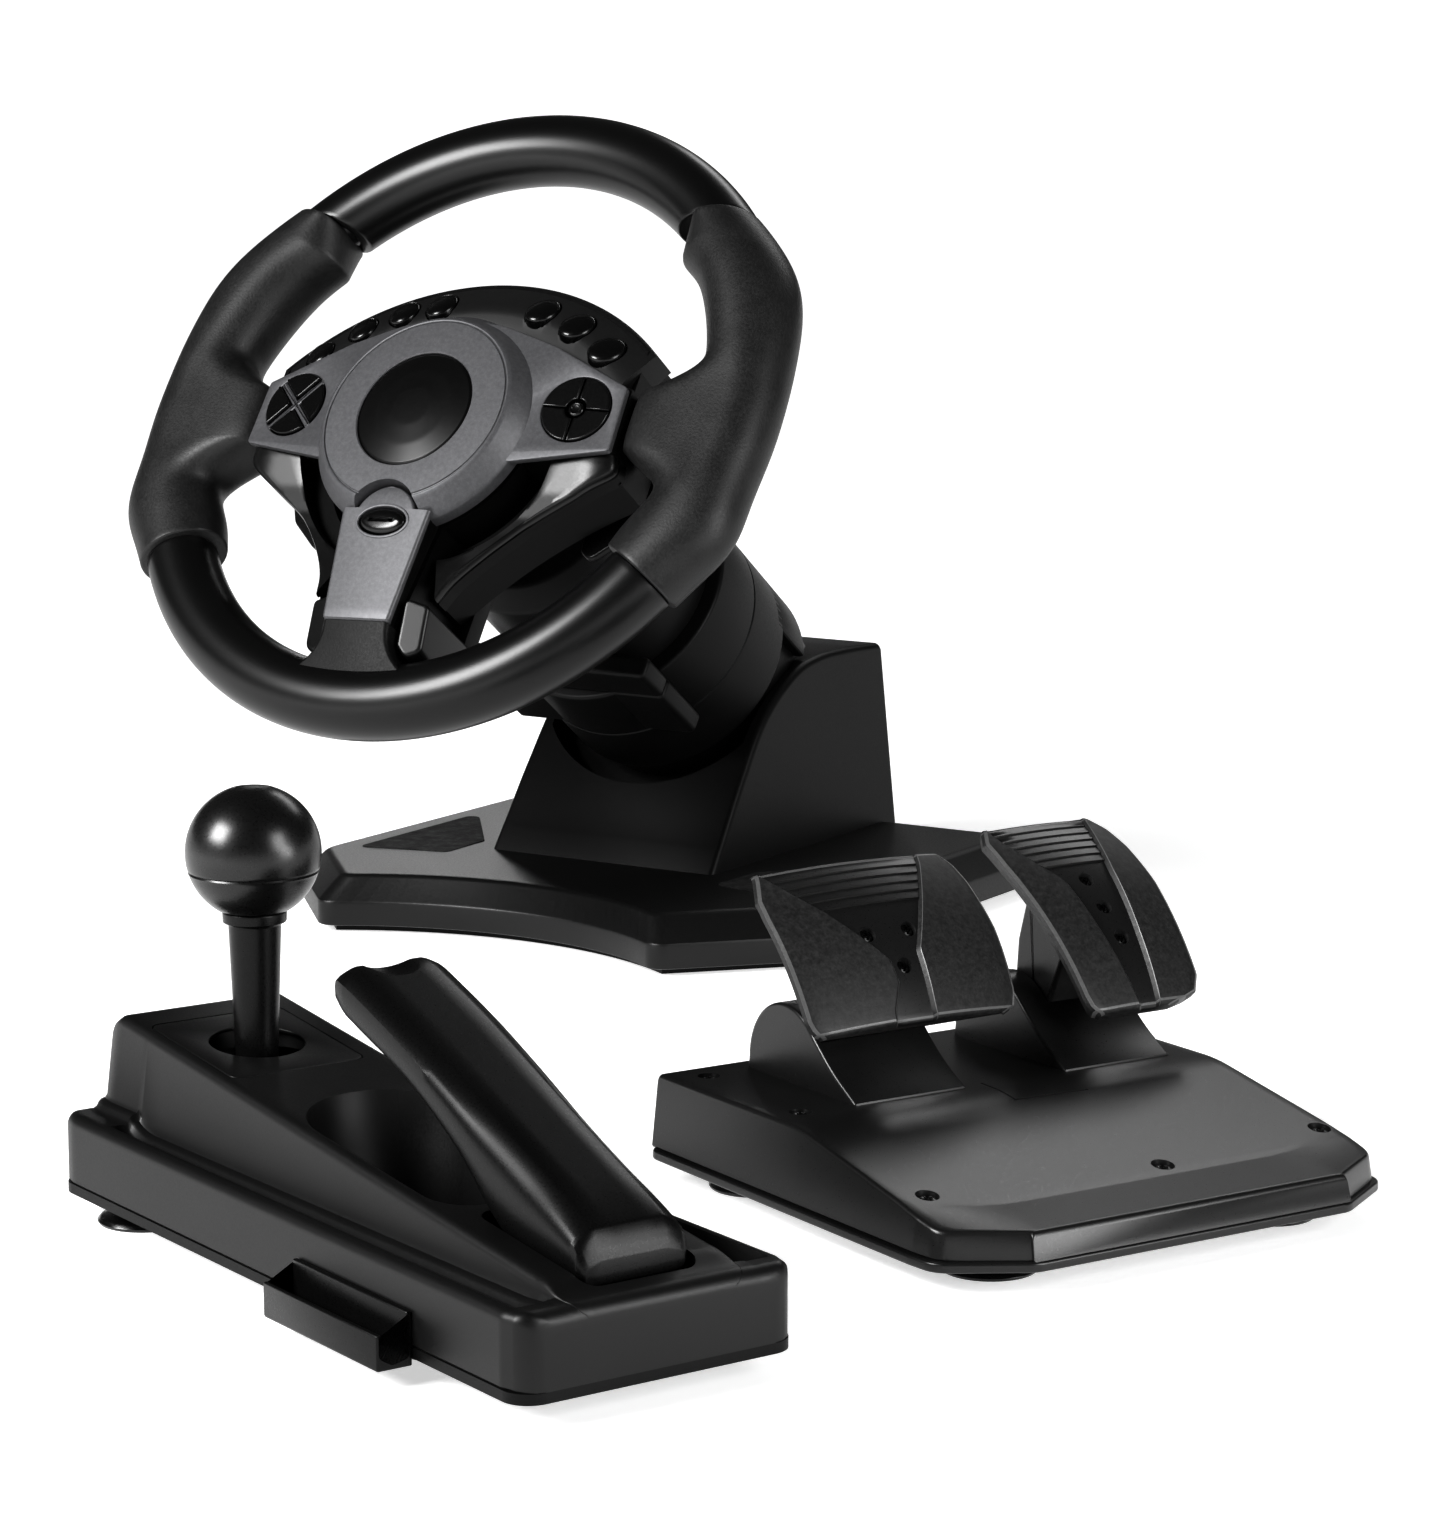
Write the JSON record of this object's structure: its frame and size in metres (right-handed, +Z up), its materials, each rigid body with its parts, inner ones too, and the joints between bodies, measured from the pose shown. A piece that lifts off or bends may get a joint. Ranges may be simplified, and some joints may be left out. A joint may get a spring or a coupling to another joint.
{
  "type": "gaming steering wheel set",
  "caption": "Gaming wheel on a desk base, with a two-pedal floor unit and a gear-stick and handbrake unit; keys press, paddles pull, pedals and levers swing.",
  "frame": {"origin": "middle of the wheel base's flat underside, on the table", "axes": "+X to the driver's right, +Y away from the driver, +Z up"},
  "size_m": [0.5802, 0.692, 0.3198],
  "materials": {
    "satin_black": "satin",
    "core_nylon": "satin",
    "grip_rubber": "fine grain",
    "silver_paint": "satin metallic paint",
    "gloss_black": "gloss",
    "matt_black": "matt",
    "textured_black": "fine texture",
    "dark_grey": "satin",
    "steel": "bright",
    "bronze": "machined",
    "board": "lacquer"
  },
  "bodies": {
    "stands": {"base_shell": "textured_black", "base_floor": "textured_black", "arm_pads": "grip_rubber", "column_shell": "textured_black", "head_front": "textured_black", "head_rear": "textured_black", "shaft_bearings": "bronze", "centering_spring": "steel", "position_sensors": "board", "pedal_shell": "dark_grey", "pedal_floor": "dark_grey", "pivot_pins": "steel", "return_springs": "steel", "shifter_shell": "textured_black", "shifter_floor": "textured_black", "gate_plate": "matt_black", "side_clip": "matt_black", "suction_cups": "grip_rubber", "case_screws": "steel"},
    "wheel": {"rim_core": "core_nylon", "rim_top_cap": "satin_black", "rim_bottom_cap": "satin_black", "grip_left": "grip_rubber", "grip_right": "grip_rubber", "face_plate": "silver_paint", "hub_cover": "silver_paint", "hub_badge": "gloss_black", "hub_shell": "gloss_black", "hub_back": "core_nylon", "button_panel": "matt_black", "spoke_foot": "grip_rubber", "wheel_board": "board", "steering_shaft": "steel"},
    "dpad_up": {"dpad_up": "gloss_black"},
    "dpad_right": {"dpad_right": "gloss_black"},
    "dpad_down": {"dpad_down": "gloss_black"},
    "dpad_left": {"dpad_left": "gloss_black"},
    "menu_top": {"menu_top": "gloss_black"},
    "menu_right": {"menu_right": "gloss_black"},
    "menu_bottom": {"menu_bottom": "gloss_black"},
    "menu_left": {"menu_left": "gloss_black"},
    "key_left_1": {"key_left_1": "gloss_black"},
    "key_left_2": {"key_left_2": "gloss_black"},
    "key_left_3": {"key_left_3": "gloss_black"},
    "key_left_4": {"key_left_4": "gloss_black"},
    "key_right_1": {"key_right_1": "gloss_black"},
    "key_right_2": {"key_right_2": "gloss_black"},
    "key_right_3": {"key_right_3": "gloss_black"},
    "start_key": {"start_key": "gloss_black"},
    "paddle_left": {"paddle_left": "gloss_black"},
    "paddle_right": {"paddle_right": "gloss_black"},
    "brake": {"brake_arm": "dark_grey", "brake_pad": "dark_grey"},
    "gas": {"gas_arm": "dark_grey", "gas_pad": "dark_grey"},
    "gimbal": {"shift_gimbal": "steel"},
    "stick": {"shift_stick": "textured_black", "shift_knob": "gloss_black"},
    "handbrake": {"handbrake_lever": "satin_black"}
  },
  "joints": [
    {"name": "steering", "type": "hinge", "parent": "stands", "child": "wheel", "pos_m": [0, -0.128, 0.208], "axis": [0, -0.809, 0.5878], "range_deg": [-137, 133], "stiffness_Nm_per_rad": 2},
    {"name": "dpad_up_press", "type": "slide", "parent": "wheel", "child": "dpad_up", "axis": [0, 0.809, -0.5878], "range_m": [0, 0.0012], "stiffness_N_per_m": 300, "springref_m": -0.002},
    {"name": "dpad_right_press", "type": "slide", "parent": "wheel", "child": "dpad_right", "axis": [0, 0.809, -0.5878], "range_m": [0, 0.0012], "stiffness_N_per_m": 300, "springref_m": -0.002},
    {"name": "dpad_down_press", "type": "slide", "parent": "wheel", "child": "dpad_down", "axis": [0, 0.809, -0.5878], "range_m": [0, 0.0012], "stiffness_N_per_m": 300, "springref_m": -0.002},
    {"name": "dpad_left_press", "type": "slide", "parent": "wheel", "child": "dpad_left", "axis": [0, 0.809, -0.5878], "range_m": [0, 0.0012], "stiffness_N_per_m": 300, "springref_m": -0.002},
    {"name": "menu_top_press", "type": "slide", "parent": "wheel", "child": "menu_top", "axis": [0, 0.809, -0.5878], "range_m": [0, 0.0012], "stiffness_N_per_m": 300, "springref_m": -0.002},
    {"name": "menu_right_press", "type": "slide", "parent": "wheel", "child": "menu_right", "axis": [0, 0.809, -0.5878], "range_m": [0, 0.0012], "stiffness_N_per_m": 300, "springref_m": -0.002},
    {"name": "menu_bottom_press", "type": "slide", "parent": "wheel", "child": "menu_bottom", "axis": [0, 0.809, -0.5878], "range_m": [0, 0.0012], "stiffness_N_per_m": 300, "springref_m": -0.002},
    {"name": "menu_left_press", "type": "slide", "parent": "wheel", "child": "menu_left", "axis": [0, 0.809, -0.5878], "range_m": [0, 0.0012], "stiffness_N_per_m": 300, "springref_m": -0.002},
    {"name": "key_left_1_press", "type": "slide", "parent": "wheel", "child": "key_left_1", "axis": [0, 0.809, -0.5878], "range_m": [0, 0.0012], "stiffness_N_per_m": 300, "springref_m": -0.002},
    {"name": "key_left_2_press", "type": "slide", "parent": "wheel", "child": "key_left_2", "axis": [0, 0.809, -0.5878], "range_m": [0, 0.0012], "stiffness_N_per_m": 300, "springref_m": -0.002},
    {"name": "key_left_3_press", "type": "slide", "parent": "wheel", "child": "key_left_3", "axis": [0, 0.809, -0.5878], "range_m": [0, 0.0012], "stiffness_N_per_m": 300, "springref_m": -0.002},
    {"name": "key_left_4_press", "type": "slide", "parent": "wheel", "child": "key_left_4", "axis": [0, 0.809, -0.5878], "range_m": [0, 0.0012], "stiffness_N_per_m": 300, "springref_m": -0.002},
    {"name": "key_right_1_press", "type": "slide", "parent": "wheel", "child": "key_right_1", "axis": [0, 0.809, -0.5878], "range_m": [0, 0.0012], "stiffness_N_per_m": 300, "springref_m": -0.002},
    {"name": "key_right_2_press", "type": "slide", "parent": "wheel", "child": "key_right_2", "axis": [0, 0.809, -0.5878], "range_m": [0, 0.0012], "stiffness_N_per_m": 300, "springref_m": -0.002},
    {"name": "key_right_3_press", "type": "slide", "parent": "wheel", "child": "key_right_3", "axis": [0, 0.809, -0.5878], "range_m": [0, 0.0012], "stiffness_N_per_m": 300, "springref_m": -0.002},
    {"name": "start_key_press", "type": "slide", "parent": "wheel", "child": "start_key", "axis": [0, 0.809, -0.5878], "range_m": [0, 0.0012], "stiffness_N_per_m": 300, "springref_m": -0.002},
    {"name": "paddle_left_pull", "type": "hinge", "parent": "wheel", "child": "paddle_left", "pos_m": [-0.04997, -0.10961, 0.19248], "axis": [-0.0349, 0.5874, 0.8085], "range_deg": [0, 5], "stiffness_Nm_per_rad": 0.6, "springref_deg": -11.46},
    {"name": "paddle_right_pull", "type": "hinge", "parent": "wheel", "child": "paddle_right", "pos_m": [0.04997, -0.10756, 0.19531], "axis": [0.0349, -0.5874, -0.8085], "range_deg": [0, 5], "stiffness_Nm_per_rad": 0.6, "springref_deg": -11.46},
    {"name": "brake_press", "type": "hinge", "parent": "stands", "child": "brake", "pos_m": [0.27971, -0.32029, 0.032], "axis": [-0.4305, -0.9026, 0], "range_deg": [0, 20], "stiffness_Nm_per_rad": 8, "springref_deg": -8.59},
    {"name": "gas_press", "type": "hinge", "parent": "stands", "child": "gas", "pos_m": [0.31372, -0.24899, 0.032], "axis": [-0.4305, -0.9026, 0], "range_deg": [0, 18], "stiffness_Nm_per_rad": 5, "springref_deg": -8.59},
    {"name": "shift_fore_aft", "type": "hinge", "parent": "stands", "child": "gimbal", "pos_m": [0.15856, -0.45803, 0.027], "axis": [0.3907, 0.9205, 0], "range_deg": [-10, 10], "stiffness_Nm_per_rad": 4},
    {"name": "shift_side", "type": "hinge", "parent": "gimbal", "child": "stick", "pos_m": [0.15856, -0.45803, 0.027], "axis": [-0.9205, 0.3907, 0], "range_deg": [-6, 6], "stiffness_Nm_per_rad": 4},
    {"name": "handbrake_pull", "type": "hinge", "parent": "stands", "child": "handbrake", "pos_m": [0.3197, -0.52372, 0.026], "axis": [0.3907, 0.9205, 0], "range_deg": [0, 18], "stiffness_Nm_per_rad": 4, "springref_deg": -11.46}
  ]
}
